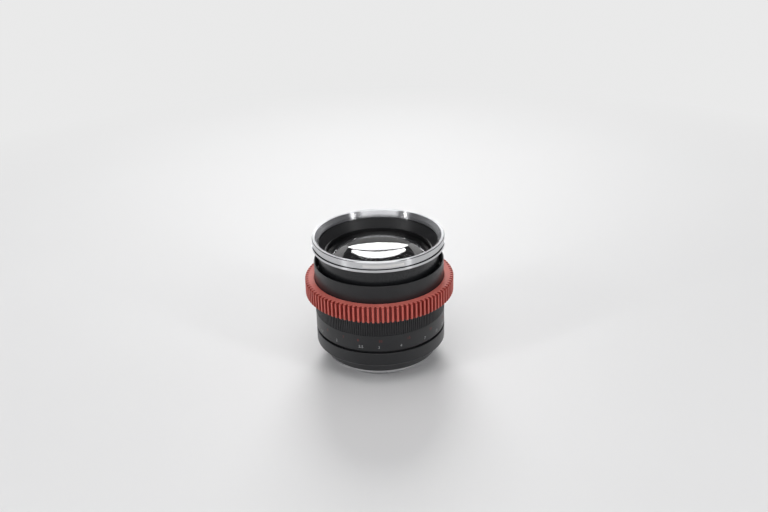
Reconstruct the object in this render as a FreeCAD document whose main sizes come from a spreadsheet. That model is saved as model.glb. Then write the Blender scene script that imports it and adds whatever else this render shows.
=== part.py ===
import FreeCAD, Part
import math
import os
import Sketcher
import types

# A short telephoto lens with a bayonet mount, standing on its mount with the front glass up.
# Millimetres and degrees. +Z is the lens axis and points out of the front glass. The origin is
# the centre of the bayonet's end. The lens is drawn at its closest focus, fully extended.
# Azimuths are counted from +X, anticlockwise seen from the front.

DOC = FreeCAD.newDocument("short_telephoto_lens")
SHEET = DOC.addObject("Spreadsheet::Sheet", "Sizes")

SIZES = {
    # Fits
    "glass_gap": 0.05,
    "seat_gap": 0.05,
    "run_gap": 0.05,
    "slide_gap": 0.3,
    "end_gap": 0.3,
    "weld": 0.05,
    "overshoot": 1.0,
    # Walls of the front end, from the front glass outwards
    "front_glass_radius": 32.0,
    "cell_wall": 1.85,
    "tube_wall": 1.75,
    "nut_wall": 1.35,
    "ring_wall": 1.6,
    "sleeve_wall": 1.25,
    "core_gap": 0.4,
    "core_wall": 1.0,
    # Bayonet and its flange
    "throat_radius": 22.2,
    "bayonet_wall": 2.6,
    "bayonet_depth": 6.0,
    "lug_count": 3,
    "lug_reach": 2.2,
    "lug_root": 0.4,
    "lug_drop": 2.6,
    "lug_thickness": 1.6,
    "lug_arc": 56.0,
    "lug_start": -83.0,
    "flange_radius": 33.0,
    "flange_thickness": 2.0,
    "lock_hole_radius": 1.2,
    "mount_screw_circle": 29.2,
    "mount_head_radius": 1.9,
    "mount_head_height": 1.0,
    "mount_shank_radius": 0.8,
    "mount_screw_end_gap": 0.1,
    # Slots of all the screws, as shares of the head's radius and height
    "slot_width_share": 0.3,
    "slot_depth_share": 0.4,
    # Contacts in the throat
    "contact_count": 8,
    "contact_step": 6.2,
    "contact_radius": 0.75,
    "contact_stand": 0.35,
    "contact_arc": 54.0,
    "contact_centre": 127.0,
    "contact_end_depth": 0.6,
    "contact_top_wall": 1.5,
    # Light baffle behind the rear glass
    "baffle_bore": 21.4,
    "baffle_lip": 5.0,
    "baffle_lip_height": 0.8,
    "baffle_end_depth": 0.8,
    # Rear collar, circuit board and fixed lower ring
    "collar_height": 6.1,
    "collar_floor": 1.5,
    "collar_bottom_step": 5.0,
    "collar_top_step": 2.5,
    "collar_inset": 0.9,
    "board_width": 4.2,
    "board_thickness": 1.0,
    "chip_size": 3.4,
    "chip_height": 1.1,
    "chip_inset": 0.3,
    "base_height": 8.3,
    "base_web": 1.5,
    "base_web_inset": 0.6,
    "base_chamfer": 0.6,
    "base_groove": 1.5,
    # Fixed barrel and what it carries
    "foot_height": 7.6,
    "bearing_height": 6.8,
    "sleeve_rise": 17.5,
    "barrel_head_radius": 0.85,
    "barrel_head_height": 1.2,
    "barrel_shank_radius": 0.5,
    "barrel_screw_reach": 2.0,
    "retainer_height": 0.9,
    "retainer_reach": 0.65,
    "stop_height": 2.0,
    "stop_play": 0.4,
    "dog_arc": 12.0,
    "dog_azimuth": 20.0,
    "dog_root": 0.5,
    "key_arc": 6.8,
    "key_height": 6.5,
    "key_drop": 1.0,
    "key_depth": 1.75,
    "key_play": 0.3,
    "key_head_radius": 1.0,
    "key_shank_radius": 0.6,
    "key_head_inset": 0.1,
    "key_shank_inset": 0.2,
    # Focus ring
    "focus_length": 42.0,
    "focus_range": 248.0,
    "focus_travel": 8.5,
    "scale_height": 10.2,
    "ring_step": 0.3,
    "edge_chamfer": 0.25,
    "mouth_wall": 0.4,
    "mouth_chamfer": 0.9,
    "rib_count": 180,
    "rib_depth": 0.4,
    "rib_tip_share": 0.42,
    "rib_foot_share": 0.72,
    "nut_length": 24.7,
    "focus_screw_radius": 0.8,
    "focus_screw_length": 1.8,
    # Follow-focus gear
    "gear_low": 21.6,
    "gear_width": 9.7,
    "gear_teeth": 98,
    "gear_ring_wall": 3.45,
    "tooth_depth": 2.0,
    "tooth_tip_share": 0.37,
    "tooth_foot_share": 0.66,
    "gear_chamfer": 0.5,
    "gear_rise": 0.2,
    # Front tube and the ring round the front
    "tube_flange_reach": 1.8,
    "tube_flange_height": 1.0,
    "tube_front_wall": 0.8,
    "tube_rear_gap": 2.1,
    "tube_ledge": 1.2,
    "hood_height": 6.5,
    "hood_reach": 3.45,
    "hood_lip_extra": 0.05,
    "hood_lip_height": 1.65,
    "hood_groove_height": 1.4,
    "hood_groove_depth": 0.6,
    "hood_bore_inset": 0.1,
    "hood_mouth_step": 1.6,
    "hood_lead_in": 2.2,
    "thread_relief": 0.4,
    "relief_rise": 0.4,
    "hood_edge": 0.4,
    "recess_height": 1.7,
    "recess_arc": 36.0,
    "recess_start": -104.0,
    "recess_depth": 0.55,
    "recess_count": 3,
    # Name ring and the ring that holds the front glass
    "name_flange_height": 1.9,
    "name_rim_land": 0.95,
    "name_drop": 4.8,
    "name_seat_drop": 0.5,
    "front_retainer_lip": 0.6,
    # Optics: heights are worked out from these, front to rear
    "vertex_depth": 5.2,
    "glass_1_thick": 8.2,
    "glass_1_front": 80.0,
    "glass_1_rear": 240.0,
    "air_1": 0.6,
    "glass_2_radius": 26.0,
    "glass_2_thick": 9.5,
    "glass_2_front": 42.0,
    "glass_2_rear": 85.0,
    "air_2": 2.2,
    "glass_3_radius": 22.5,
    "glass_3_clear": 19.0,
    "glass_3_thick": 2.8,
    "glass_3_front": 130.0,
    "glass_3_rear": 24.5,
    "glass_4_radius": 18.5,
    "glass_4_clear": 17.5,
    "glass_4_thick": 2.2,
    "glass_4_front": 27.0,
    "glass_4_rear": 60.0,
    "cement": 0.02,
    "glass_5_thick": 11.0,
    "glass_5_rear": 36.0,
    "air_5": 0.6,
    "glass_6_radius": 19.0,
    "glass_6_thick": 6.0,
    "glass_6_front": 110.0,
    "glass_6_rear": 75.0,
    # Cells and rings that hold the glass
    "rim_land": 0.6,
    "seat_land": 1.2,
    "cell_foot": 0.7,
    "cell_step_drop": 16.0,
    "core_flange_height": 1.5,
    "retainer_2_height": 1.8,
    "doublet_retainer_height": 0.35,
    "rear_wall": 1.85,
    "rear_flange_reach": 1.9,
    "rear_flange_height": 1.6,
    "rear_end_reach": 0.5,
    # Iris
    "blade_count": 9,
    "blade_thickness": 0.12,
    "blade_pitch": 0.2,
    "blade_width": 8.4,
    "blade_arc": 104.0,
    "blade_heel": 4.0,
    "blade_ratio": 1.6,
    "cam_turn": 21.5,
    "iris_plate": 0.7,
    "iris_wall": 1.0,
    "iris_margin": 0.35,
    "pivot_inset": 3.7,
    "blade_clearance": 0.7,
    "post_radius": 0.4,
    "ear_radius": 1.3,
    "drive_reach": 3.2,
    "drive_angle": 60.0,
    "drive_pin_radius": 0.5,
    "drive_ear_radius": 0.9,
    "slot_play": 0.12,
    "slot_steps": 12,
    "post_end_gap": 0.1,
    "post_root": 0.2,
    "plate_bore_extra": 0.3,
    "cam_plate": 0.6,
    "cam_rack_depth": 1.7,
    "cam_teeth": 160,
    "cam_gear_inset": 1.6,
    "cam_tooth_up": 0.28,
    "cam_tooth_down": 0.36,
    "cam_tip_share": 0.34,
    "cam_foot_share": 0.78,
    "pinion_tip_share": 0.26,
    "pinion_foot_share": 0.66,
    "pinion_teeth": 10,
    "pinion_play": 0.15,
    "shaft_radius": 0.5,
    "iris_bearing_reach": 2.4,
    "motor_radius": 3.2,
    "motor_gap": 0.15,
    "motor_length": 8.4,
    "motor_shaft_reach": 2.1,
    "motor_bore_depth": 2.8,
    "motor_azimuth": 45.0,
    "web_thickness": 1.6,
    "flex_width": 5.0,
    "flex_thickness": 0.2,
    "flex_offset": 2.35,
}


class Size:
    """A number that also knows the expression it comes from, so that a property can be bound to it."""

    def __init__(self, value, text):
        self.value = float(value)
        self.text = text

    def __add__(self, other):
        other = as_size(other)
        return Size(self.value + other.value, f"({self.text} + {other.text})")

    def __sub__(self, other):
        other = as_size(other)
        return Size(self.value - other.value, f"({self.text} - {other.text})")

    def __rsub__(self, other):
        return as_size(other) - self

    def __mul__(self, other):
        other = as_size(other)
        return Size(self.value * other.value, f"({self.text} * {other.text})")

    def __truediv__(self, other):
        other = as_size(other)
        return Size(self.value / other.value, f"({self.text} / {other.text})")

    def __rtruediv__(self, other):
        return as_size(other) / self

    __radd__ = __add__
    __rmul__ = __mul__


def as_size(number):
    return number if isinstance(number, Size) else Size(number, f"{float(number)}")


def root(size):
    return Size(math.sqrt(size.value), f"sqrt({size.text})")


def along(radius, azimuth):
    """The X and Y of a point at this radius and azimuth."""
    radius, azimuth = as_size(radius), as_size(azimuth)
    turn = math.radians(azimuth.value)
    x = Size(radius.value * math.cos(turn), f"({radius.text} * cos({azimuth.text}))")
    y = Size(radius.value * math.sin(turn), f"({radius.text} * sin({azimuth.text}))")
    return x, y


def sag(curve, radius):
    """How far a ball of this curve falls away at this radius."""
    return curve - root(curve * curve - radius * radius)


def fill_sheet():
    for row, (name, value) in enumerate(SIZES.items(), start=1):
        SHEET.set(f"A{row}", name)
        SHEET.set(f"B{row}", str(value))
        SHEET.setAlias(f"B{row}", name)
    DOC.recompute()


fill_sheet()
S = types.SimpleNamespace(**{name: Size(SHEET.get(name), "Sizes." + name) for name in SIZES})


# Objects bound to the sheet

def bind(item, **sizes):
    for name, size in sizes.items():
        size = as_size(size)
        setattr(item, name, size.value)
        item.setExpression(name, size.text)
    return item


def put(item, x=0.0, y=0.0, z=0.0, turn=0.0, axis=(0, 0, 1)):
    x, y, z, turn = as_size(x), as_size(y), as_size(z), as_size(turn)
    spin = FreeCAD.Rotation(FreeCAD.Vector(*axis), turn.value)
    item.Placement = FreeCAD.Placement(FreeCAD.Vector(x.value, y.value, z.value), spin)
    for name, size in (("Base.x", x), ("Base.y", y), ("Base.z", z)):
        item.setExpression("Placement." + name, size.text)
    if axis == (0, 0, 1):
        item.setExpression("Placement.Rotation.Angle", turn.text)
    return item


def add(kind, label):
    item = DOC.addObject(kind, label)
    item.Label = label
    return item


def cylinder(label, radius, low, high, x=0.0, y=0.0):
    item = bind(add("Part::Cylinder", label), Radius=radius, Height=high - low)
    return put(item, x, y, low)


def ball(label, radius, z):
    return put(bind(add("Part::Sphere", label), Radius=radius), z=z)


def block(label, length, width, low, high, x=0.0, y=0.0, turn=0.0):
    item = bind(add("Part::Box", label), Length=length, Width=width, Height=high - low)
    return put(item, x, y, low, turn)


def cut(label, base, tool):
    item = add("Part::Cut", label)
    item.Base, item.Tool = base, tool
    return item


def common(label, base, tool):
    item = add("Part::Common", label)
    item.Base, item.Tool = base, tool
    return item


def fuse(label, items):
    item = add("Part::MultiFuse", label)
    item.Shapes = items
    return item


def group(label, items):
    item = add("Part::Compound", label)
    item.Links = items
    return item


def turned(label, corners):
    """A body turned about the lens axis. Corners are (radius, height) in order round its section."""
    body = add("PartDesign::Body", label)
    sketch = body.newObject("Sketcher::SketchObject", label + "_section")
    plane = next(o for o in body.Origin.OriginFeatures if o.Role == "XZ_Plane")
    sketch.AttachmentSupport = (plane, [""])
    sketch.MapMode = "FlatFace"
    corners = [(as_size(r), as_size(z)) for r, z in corners]
    points = [FreeCAD.Vector(r.value, z.value, 0) for r, z in corners]
    for start, end in zip(points, points[1:] + points[:1]):
        sketch.addGeometry(Part.LineSegment(start, end), False)
    for edge in range(len(points)):
        after = (edge + 1) % len(points)
        sketch.addConstraint(Sketcher.Constraint("Coincident", edge, 2, after, 1))
    for edge, corner in enumerate(corners):
        for kind, size in zip(("DistanceX", "DistanceY"), corner):
            rule = sketch.addConstraint(Sketcher.Constraint(kind, -1, 1, edge, 1, size.value))
            sketch.setExpression(f"Constraints[{rule}]", size.text)
    turn = body.newObject("PartDesign::Revolution", label + "_turn")
    turn.Profile = sketch
    turn.ReferenceAxis = (sketch, ["V_Axis"])
    turn.Angle = 360.0
    return body


def plain_ring(label, inner, outer, low, high):
    return turned(label, [(inner, low), (outer, low), (outer, high), (inner, high)])


def sector(label, inner, outer, low, high, start, arc):
    """A piece of a ring, from the start azimuth over this arc."""
    whole = cylinder(label + "_round", outer, low, high)
    bind(whole, Angle=arc)
    put(whole, z=low, turn=start)
    hole = cylinder(label + "_bore", inner, low - S.overshoot, high + S.overshoot)
    return cut(label, whole, hole)


def copies(label, item, count, start=0.0):
    """The item repeated evenly round the lens axis, counted by a size of the sheet."""
    links = []
    for number in range(int(count.value)):
        link = add("Part::Compound", f"{label}_{number + 1}")
        link.Links = [item]
        links.append(put(link, turn=start + number * 360.0 / count))
    return links


def screw(label, x, y, head_end, head_radius, head_height, shank_radius, length, up):
    """A slotted screw along the lens axis. Up is 1 where its head points to the front glass."""
    slot_width = head_radius * S.slot_width_share
    slot_depth = head_height * S.slot_depth_share
    neck = head_end - up * head_height
    tip = neck - up * length
    heads = (head_end, neck) if up < 0 else (neck, head_end)
    shanks = (neck, tip) if up < 0 else (tip, neck)
    slots = (head_end, head_end + slot_depth) if up < 0 else (head_end - slot_depth, head_end)
    head = cylinder(label + "_head", head_radius, *heads, x=x, y=y)
    shank = cylinder(label + "_shank", shank_radius, *shanks, x=x, y=y)
    solid = fuse(label + "_solid", [head, shank])
    slot = block(label + "_slot", head_radius * 3.0, slot_width, *slots,
                 x=x - head_radius * 1.5, y=y - slot_width / 2.0)
    return cut(label, solid, slot)


def radial_pin(label, radius, inner, outer, height, azimuth):
    """A round pin that points away from the lens axis."""
    pin = bind(add("Part::Cylinder", label + "_along_x"), Radius=radius, Height=outer - inner)
    put(pin, x=inner, z=height, turn=90.0, axis=(0, 1, 0))
    pin_round = add("Part::Compound", label)
    pin_round.Links = [pin]
    return put(pin_round, turn=azimuth)


def shaped(label, shape):
    item = add("Part::Feature", label)
    item.Shape = shape
    return item


def toothed_face(teeth, tip, foot, tip_share, foot_share, centre=as_size(0.0)):
    """A flat face with straight-sided teeth. Shares are of one tooth pitch at the tip and the foot."""
    pitch = 2.0 * math.pi / teeth.value
    corners = [(foot.value, -foot_share.value), (tip.value, -tip_share.value),
               (tip.value, tip_share.value), (foot.value, foot_share.value)]
    points = []
    for number in range(int(teeth.value)):
        middle = math.radians(centre.value) + number * pitch
        for radius, share in corners:
            turn = middle + share * pitch / 2.0
            points.append(FreeCAD.Vector(radius * math.cos(turn), radius * math.sin(turn), 0))
    return Part.Face(Part.makePolygon(points + points[:1]))


def raised(face, low, high):
    lifted = face.copy()
    lifted.translate(FreeCAD.Vector(0, 0, low.value))
    return lifted.extrude(FreeCAD.Vector(0, 0, (high - low).value))


def round_bar(radius, low, high):
    return Part.makeCylinder(radius.value, (high - low).value, FreeCAD.Vector(0, 0, low.value))


# Radii that follow from the walls and the fits

cell_bore = S.front_glass_radius + S.glass_gap
cell_radius = cell_bore + S.cell_wall
tube_bore = cell_radius + S.seat_gap
tube_radius = tube_bore + S.tube_wall
nut_bore = tube_radius + S.slide_gap
nut_radius = nut_bore + S.nut_wall
ring_bore = nut_radius + S.seat_gap
barrel_radius = ring_bore + S.ring_wall
bearing_radius = ring_bore - S.run_gap
sleeve_radius = tube_bore - S.slide_gap
sleeve_bore = sleeve_radius - S.sleeve_wall
core_radius = sleeve_bore - S.core_gap
core_bore = core_radius - S.core_wall
inner_radius = core_bore - S.seat_gap
bayonet_radius = S.throat_radius + S.bayonet_wall
gear_bore = barrel_radius + S.seat_gap
gear_radius = gear_bore + S.gear_ring_wall + S.tooth_depth
retainer_radius = ring_bore + S.retainer_reach
knurl_root = barrel_radius - S.rib_depth
relief_radius = tube_radius + S.thread_relief
rear_radius = S.glass_6_radius + S.glass_gap + S.rear_wall
collar_bottom_radius = barrel_radius - S.collar_bottom_step
collar_top_radius = barrel_radius - S.collar_top_step
collar_bore = sleeve_bore - S.collar_inset
board_radius = collar_bore - S.slide_gap
board_bore = board_radius - S.board_width
base_web_bore = sleeve_bore + S.base_web_inset

# Heights of the outside, from the bayonet's end to the front

flange_face = S.bayonet_depth
flange_top = flange_face + S.flange_thickness
collar_top = flange_top + S.collar_height
floor_top = flange_top + S.collar_floor
web_top = collar_top + S.base_web
base_top = collar_top + S.base_height
focus_bottom = base_top + S.base_groove
focus_top = focus_bottom + S.focus_length
knurl_bottom = focus_bottom + S.scale_height
gear_bottom = focus_bottom + S.gear_low
gear_top = gear_bottom + S.gear_width
hood_bottom = focus_top + S.focus_travel + S.end_gap
hood_top = hood_bottom + S.hood_height

# Heights of the fixed barrel and of the focus drive

channel_floor = web_top + S.foot_height
bearing_top = focus_bottom + S.bearing_height
sleeve_top = bearing_top + S.sleeve_rise
retainer_top = bearing_top + S.retainer_height
stop_top = retainer_top + S.stop_height
nut_bottom = stop_top + S.end_gap
nut_top = nut_bottom + S.nut_length
key_top = sleeve_top - S.key_drop
key_bottom = key_top - S.key_height
tube_bottom = channel_floor + S.barrel_head_height + S.focus_travel + S.tube_rear_gap

# Heights of the glass surfaces on the lens axis, front to rear

vertex_1 = hood_top - S.vertex_depth
vertex_2 = vertex_1 - S.glass_1_thick
vertex_3 = vertex_2 - S.air_1
vertex_4 = vertex_3 - S.glass_2_thick
vertex_5 = vertex_4 - S.air_2
vertex_6 = vertex_5 - S.glass_3_thick
glass_3_foot = vertex_6 - sag(S.glass_3_rear, S.glass_3_clear)
cell_bottom = glass_3_foot - S.cell_foot
iris_top = cell_bottom - S.iris_plate
cam_top = iris_top - S.blade_pitch * (S.blade_count + 0.5)
cam_bottom = cam_top - S.cam_plate
doublet_top = cam_bottom - S.cam_plate
vertex_7 = doublet_top - sag(S.glass_4_front, S.glass_4_clear)
vertex_8 = vertex_7 - S.glass_4_thick
vertex_9 = vertex_8 - S.glass_5_thick
vertex_10 = vertex_9 - S.air_5
vertex_11 = vertex_10 - S.glass_6_thick
rack_bottom = cam_bottom - S.cam_rack_depth
core_web_top = rack_bottom - S.pinion_play
core_web_bottom = core_web_top - S.web_thickness
core_flange_top = vertex_1 - S.cell_step_drop
core_flange_bottom = core_flange_top - S.core_flange_height
rear_bottom = vertex_11 - S.rear_end_reach

# Places and radii shared by several pieces

contact_start = S.contact_centre - S.contact_arc / 2.0
mount_screw_azimuths = (45.0, 135.0, 225.0, 315.0)
chip_azimuths = (100.0, 150.0, 250.0)
barrel_screw_azimuths = (60.0, 150.0, 240.0, 330.0)
focus_screw_azimuths = (30.0, 150.0, 270.0)
barrel_screw_circle = (sleeve_radius + nut_bore) / 2.0
key_azimuths = (0.0, 180.0)
key_middle = (key_bottom + key_top) / 2.0
name_bottom = hood_bottom + S.name_flange_height - S.name_drop
front_cell_top = name_bottom - S.name_seat_drop
ledge_bottom = core_flange_bottom - S.tube_ledge
glass_2_rim = vertex_3 - sag(S.glass_2_front, S.glass_2_radius - S.rim_land) + S.glass_gap
glass_2_lock_top = glass_2_rim + S.retainer_2_height
cam_radius = inner_radius - S.iris_wall - S.iris_margin
pivot_radius = cam_radius - S.pivot_inset
blade_outer = pivot_radius - S.blade_clearance
aperture_radius = blade_outer - S.blade_width
cam_pitch_radius = cam_radius - S.cam_gear_inset
pinion_radius = cam_pitch_radius * S.pinion_teeth / S.cam_teeth
pinion_centre_radius = cam_pitch_radius - pinion_radius
motor_top = core_web_bottom


# The fixed end: bayonet, contacts, collar and lower ring

def bayonet_mount():
    blank = turned("bayonet_blank", [
        (S.throat_radius, 0.0), (bayonet_radius, 0.0), (bayonet_radius, flange_face),
        (S.flange_radius - S.edge_chamfer, flange_face), (S.flange_radius, flange_face + S.edge_chamfer),
        (S.flange_radius, flange_top), (S.throat_radius, flange_top)])
    lug_top = flange_face - S.lug_drop
    lug = sector("bayonet_lug", bayonet_radius - S.lug_root, bayonet_radius + S.lug_reach,
                 lug_top - S.lug_thickness, lug_top, S.lug_start, S.lug_arc)
    lugs = copies("bayonet_lug", lug, S.lug_count)
    solid = fuse("bayonet_solid", [blank] + lugs)
    window = sector("contact_window", S.throat_radius - S.overshoot, bayonet_radius + S.overshoot,
                    as_size(0.0) - S.overshoot, flange_face - S.seat_gap,
                    contact_start - S.key_play, S.contact_arc + 2.0 * S.key_play)
    lock_x, lock_y = along(S.mount_screw_circle, 0.0)
    lock = cylinder("lock_hole", S.lock_hole_radius, flange_face - S.overshoot, flange_top + S.overshoot,
                    lock_x, lock_y)
    cuts = [window, lock]
    for number, azimuth in enumerate(mount_screw_azimuths, start=1):
        x, y = along(S.mount_screw_circle, azimuth)
        head = cylinder(f"mount_recess_{number}", S.mount_head_radius + S.seat_gap,
                        flange_face - S.overshoot, flange_face + S.mount_head_height, x, y)
        shank = cylinder(f"mount_hole_{number}", S.mount_shank_radius + S.seat_gap, flange_face,
                         flange_top + S.overshoot, x, y)
        cuts += [head, shank]
    return cut("bayonet_mount", solid, fuse("bayonet_cuts", cuts))


def mount_screws():
    screws = []
    for number, azimuth in enumerate(mount_screw_azimuths, start=1):
        x, y = along(S.mount_screw_circle, azimuth)
        length = floor_top - flange_face - S.mount_head_height - S.mount_screw_end_gap
        screws.append(screw(f"mount_screw_{number}", x, y, flange_face, S.mount_head_radius,
                            S.mount_head_height, S.mount_shank_radius, length, -1))
    return group("mount_screws", screws)


def contact_block():
    blank = sector("contact_block_blank", S.throat_radius + S.seat_gap, bayonet_radius - S.seat_gap,
                   S.contact_end_depth, flange_face - 2.0 * S.seat_gap, contact_start, S.contact_arc)
    holes = contact_rods("contact_hole", S.contact_radius + S.seat_gap / 2.0)
    return cut("contact_block", blank, fuse("contact_holes", holes))


def contact_rods(label, radius):
    rods = []
    for number in range(int(S.contact_count.value)):
        offset = (number - (S.contact_count - 1.0) / 2.0) * S.contact_step
        x, y = along((S.throat_radius + bayonet_radius) / 2.0, S.contact_centre + offset)
        rods.append(cylinder(f"{label}_{number + 1}", radius, S.contact_end_depth - S.contact_stand,
                             flange_face - S.contact_top_wall, x, y))
    return rods


def rear_baffle():
    outer = S.throat_radius - S.seat_gap
    lip = S.baffle_bore + S.baffle_lip
    return turned("rear_baffle", [
        (S.baffle_bore, S.baffle_end_depth), (outer, S.baffle_end_depth), (outer, flange_top + S.seat_gap),
        (lip, flange_top + S.seat_gap), (lip, flange_top + S.baffle_lip_height),
        (S.baffle_bore, flange_top + S.baffle_lip_height)])


def rear_collar():
    floor_bore = S.baffle_bore + S.baffle_lip + S.seat_gap
    blank = turned("rear_collar_blank", [
        (floor_bore, flange_top), (collar_bottom_radius, flange_top), (collar_top_radius, collar_top),
        (collar_bore, collar_top), (collar_bore, floor_top), (floor_bore, floor_top)])
    holes = []
    for number, azimuth in enumerate(mount_screw_azimuths, start=1):
        x, y = along(S.mount_screw_circle, azimuth)
        holes.append(cylinder(f"collar_hole_{number}", S.mount_shank_radius + S.seat_gap,
                              flange_top - S.overshoot, floor_top + S.overshoot, x, y))
    for number, azimuth in enumerate(barrel_screw_azimuths, start=1):
        x, y = along(barrel_screw_circle, azimuth)
        holes.append(cylinder(f"collar_thread_{number}", S.barrel_shank_radius + S.seat_gap,
                              collar_top - S.barrel_screw_reach - S.end_gap, collar_top + S.overshoot, x, y))
    return cut("rear_collar", blank, fuse("rear_collar_holes", holes))


def circuit_board():
    return plain_ring("circuit_board", board_bore, board_radius,
                      floor_top, floor_top + S.board_thickness)


def board_chips():
    low = floor_top + S.board_thickness
    chips = []
    for number, azimuth in enumerate(chip_azimuths, start=1):
        chip = block(f"board_chip_{number}_flat", S.chip_size, S.chip_size, low, low + S.chip_height,
                     x=board_bore + S.chip_inset, y=S.chip_size * -0.5)
        turned_chip = add("Part::Compound", f"board_chip_{number}")
        turned_chip.Links = [chip]
        chips.append(put(turned_chip, turn=azimuth))
    return group("board_chips", chips)


def base_ring():
    bore = bearing_radius + S.seat_gap
    blank = turned("base_ring_blank", [
        (base_web_bore, collar_top), (barrel_radius - S.base_chamfer, collar_top),
        (barrel_radius, collar_top + S.base_chamfer), (barrel_radius, base_top - S.edge_chamfer),
        (barrel_radius - S.edge_chamfer, base_top), (bore, base_top), (bore, web_top),
        (base_web_bore, web_top)])
    holes = barrel_screw_holes("base_hole", web_top, collar_top)
    return cut("base_ring", blank, fuse("base_ring_holes", holes))


def barrel_screw_holes(label, high, low):
    holes = []
    for number, azimuth in enumerate(barrel_screw_azimuths, start=1):
        x, y = along(barrel_screw_circle, azimuth)
        holes.append(cylinder(f"{label}_{number}", S.barrel_shank_radius + S.seat_gap,
                              low - S.overshoot, high + S.overshoot, x, y))
    return holes


# The fixed barrel, which carries the focus ring outside and guides the optics inside

def fixed_barrel():
    blank = turned("fixed_barrel_blank", [
        (sleeve_bore, web_top), (bearing_radius, web_top), (bearing_radius, bearing_top),
        (nut_bore, bearing_top), (nut_bore, channel_floor), (sleeve_radius, channel_floor),
        (sleeve_radius, sleeve_top), (sleeve_bore, sleeve_top)])
    holes = barrel_screw_holes("barrel_hole", channel_floor, web_top)
    for number, azimuth in enumerate(key_azimuths, start=1):
        holes.append(radial_pin(f"key_thread_{number}", S.key_shank_radius + S.seat_gap,
                                sleeve_bore - S.overshoot, sleeve_radius + S.overshoot,
                                key_middle, azimuth))
    return cut("fixed_barrel", blank, fuse("fixed_barrel_holes", holes))


def barrel_screws():
    screws = []
    for number, azimuth in enumerate(barrel_screw_azimuths, start=1):
        x, y = along(barrel_screw_circle, azimuth)
        length = channel_floor - collar_top + S.barrel_screw_reach
        screws.append(screw(f"barrel_screw_{number}", x, y, channel_floor + S.barrel_head_height,
                            S.barrel_head_radius, S.barrel_head_height, S.barrel_shank_radius, length, 1))
    return group("barrel_screws", screws)


def guide_keys():
    inner = sleeve_radius + S.seat_gap
    keys = []
    for number, azimuth in enumerate(key_azimuths, start=1):
        key = sector(f"guide_key_{number}_blank", inner, inner + S.key_depth, key_bottom, key_top,
                     azimuth - S.key_arc / 2.0, S.key_arc)
        head = radial_pin(f"key_recess_{number}", S.key_head_radius + S.seat_gap,
                          inner + S.key_depth / 2.0, inner + S.key_depth + S.overshoot,
                          key_middle, azimuth)
        shank = radial_pin(f"key_hole_{number}", S.key_shank_radius + S.seat_gap,
                           inner - S.overshoot, inner + S.key_depth, key_middle, azimuth)
        keys.append(cut(f"guide_key_{number}", key, fuse(f"key_cuts_{number}", [head, shank])))
    return group("guide_keys", keys)


def guide_key_screws():
    inner = sleeve_radius + S.seat_gap
    screws = []
    for number, azimuth in enumerate(key_azimuths, start=1):
        head = radial_pin(f"key_screw_{number}_head", S.key_head_radius, inner + S.key_depth / 2.0,
                          inner + S.key_depth - S.key_head_inset, key_middle, azimuth)
        shank = radial_pin(f"key_screw_{number}_shank", S.key_shank_radius, sleeve_bore + S.key_shank_inset,
                           inner + S.key_depth / 2.0 + S.weld, key_middle, azimuth)
        screws.append(fuse(f"guide_key_screw_{number}", [head, shank]))
    return group("guide_key_screws", screws)


def focus_retainer():
    return plain_ring("focus_retainer", nut_bore + S.seat_gap, retainer_radius - S.run_gap * 2.0,
                      bearing_top, retainer_top)


def focus_stop():
    arc = 360.0 - S.focus_range - S.dog_arc - 2.0 * S.stop_play
    start = S.dog_azimuth + S.dog_arc / 2.0 + S.stop_play
    return sector("focus_stop", nut_bore + S.seat_gap, nut_radius - S.slide_gap / 2.0,
                  retainer_top, stop_top, start, arc)


# The focus ring and what turns with it

def focus_ring():
    step_radius = barrel_radius - S.ring_step
    mouth = barrel_radius - S.ring_step - S.mouth_wall
    blank = turned("focus_ring_blank", [
        (ring_bore, focus_bottom), (barrel_radius - S.edge_chamfer, focus_bottom),
        (barrel_radius, focus_bottom + S.edge_chamfer), (barrel_radius, knurl_bottom),
        (knurl_root, knurl_bottom), (knurl_root, gear_top - S.gear_rise),
        (step_radius, gear_top - S.gear_rise),
        (step_radius, focus_top - S.edge_chamfer / 2.0), (step_radius - S.edge_chamfer / 2.0, focus_top),
        (mouth, focus_top), (ring_bore, focus_top - S.mouth_chamfer),
        (ring_bore, retainer_top + S.end_gap), (retainer_radius, retainer_top + S.end_gap),
        (retainer_radius, bearing_top - S.end_gap), (ring_bore, bearing_top - S.end_gap)])
    rib_face = toothed_face(S.rib_count, barrel_radius, knurl_root, S.rib_tip_share, S.rib_foot_share)
    rib_top = gear_bottom + S.gear_width / 2.0
    ribs = raised(rib_face, knurl_bottom, rib_top).cut(
        round_bar(knurl_root - S.rib_depth, knurl_bottom - S.overshoot, rib_top + S.overshoot))
    solid = fuse("focus_ring_solid", [blank, shaped("focus_ring_ribs", ribs)])
    holes = focus_screw_rods("focus_hole", S.seat_gap, S.overshoot)
    return cut("focus_ring", solid, fuse("focus_ring_holes", holes))


def focus_screw_rods(label, extra_radius, extra_length):
    inner = nut_radius - S.nut_wall / 2.0
    middle = gear_bottom + S.gear_width / 2.0
    rods = []
    for number, azimuth in enumerate(focus_screw_azimuths, start=1):
        rods.append(radial_pin(f"{label}_{number}", S.focus_screw_radius + extra_radius,
                               inner - extra_radius, inner + S.focus_screw_length + extra_length,
                               middle, azimuth))
    return rods


def helicoid_nut():
    ring = plain_ring("helicoid_nut_ring", nut_bore, nut_radius, nut_bottom, nut_top)
    dog = sector("focus_dog", nut_bore + S.seat_gap, nut_radius - S.slide_gap / 2.0,
                 retainer_top + S.end_gap, nut_bottom + S.dog_root,
                 S.dog_azimuth - S.dog_arc / 2.0, S.dog_arc)
    solid = fuse("helicoid_nut_solid", [ring, dog])
    holes = focus_screw_rods("nut_hole", S.seat_gap, S.overshoot)
    return cut("helicoid_nut", solid, fuse("nut_holes", holes))


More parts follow.
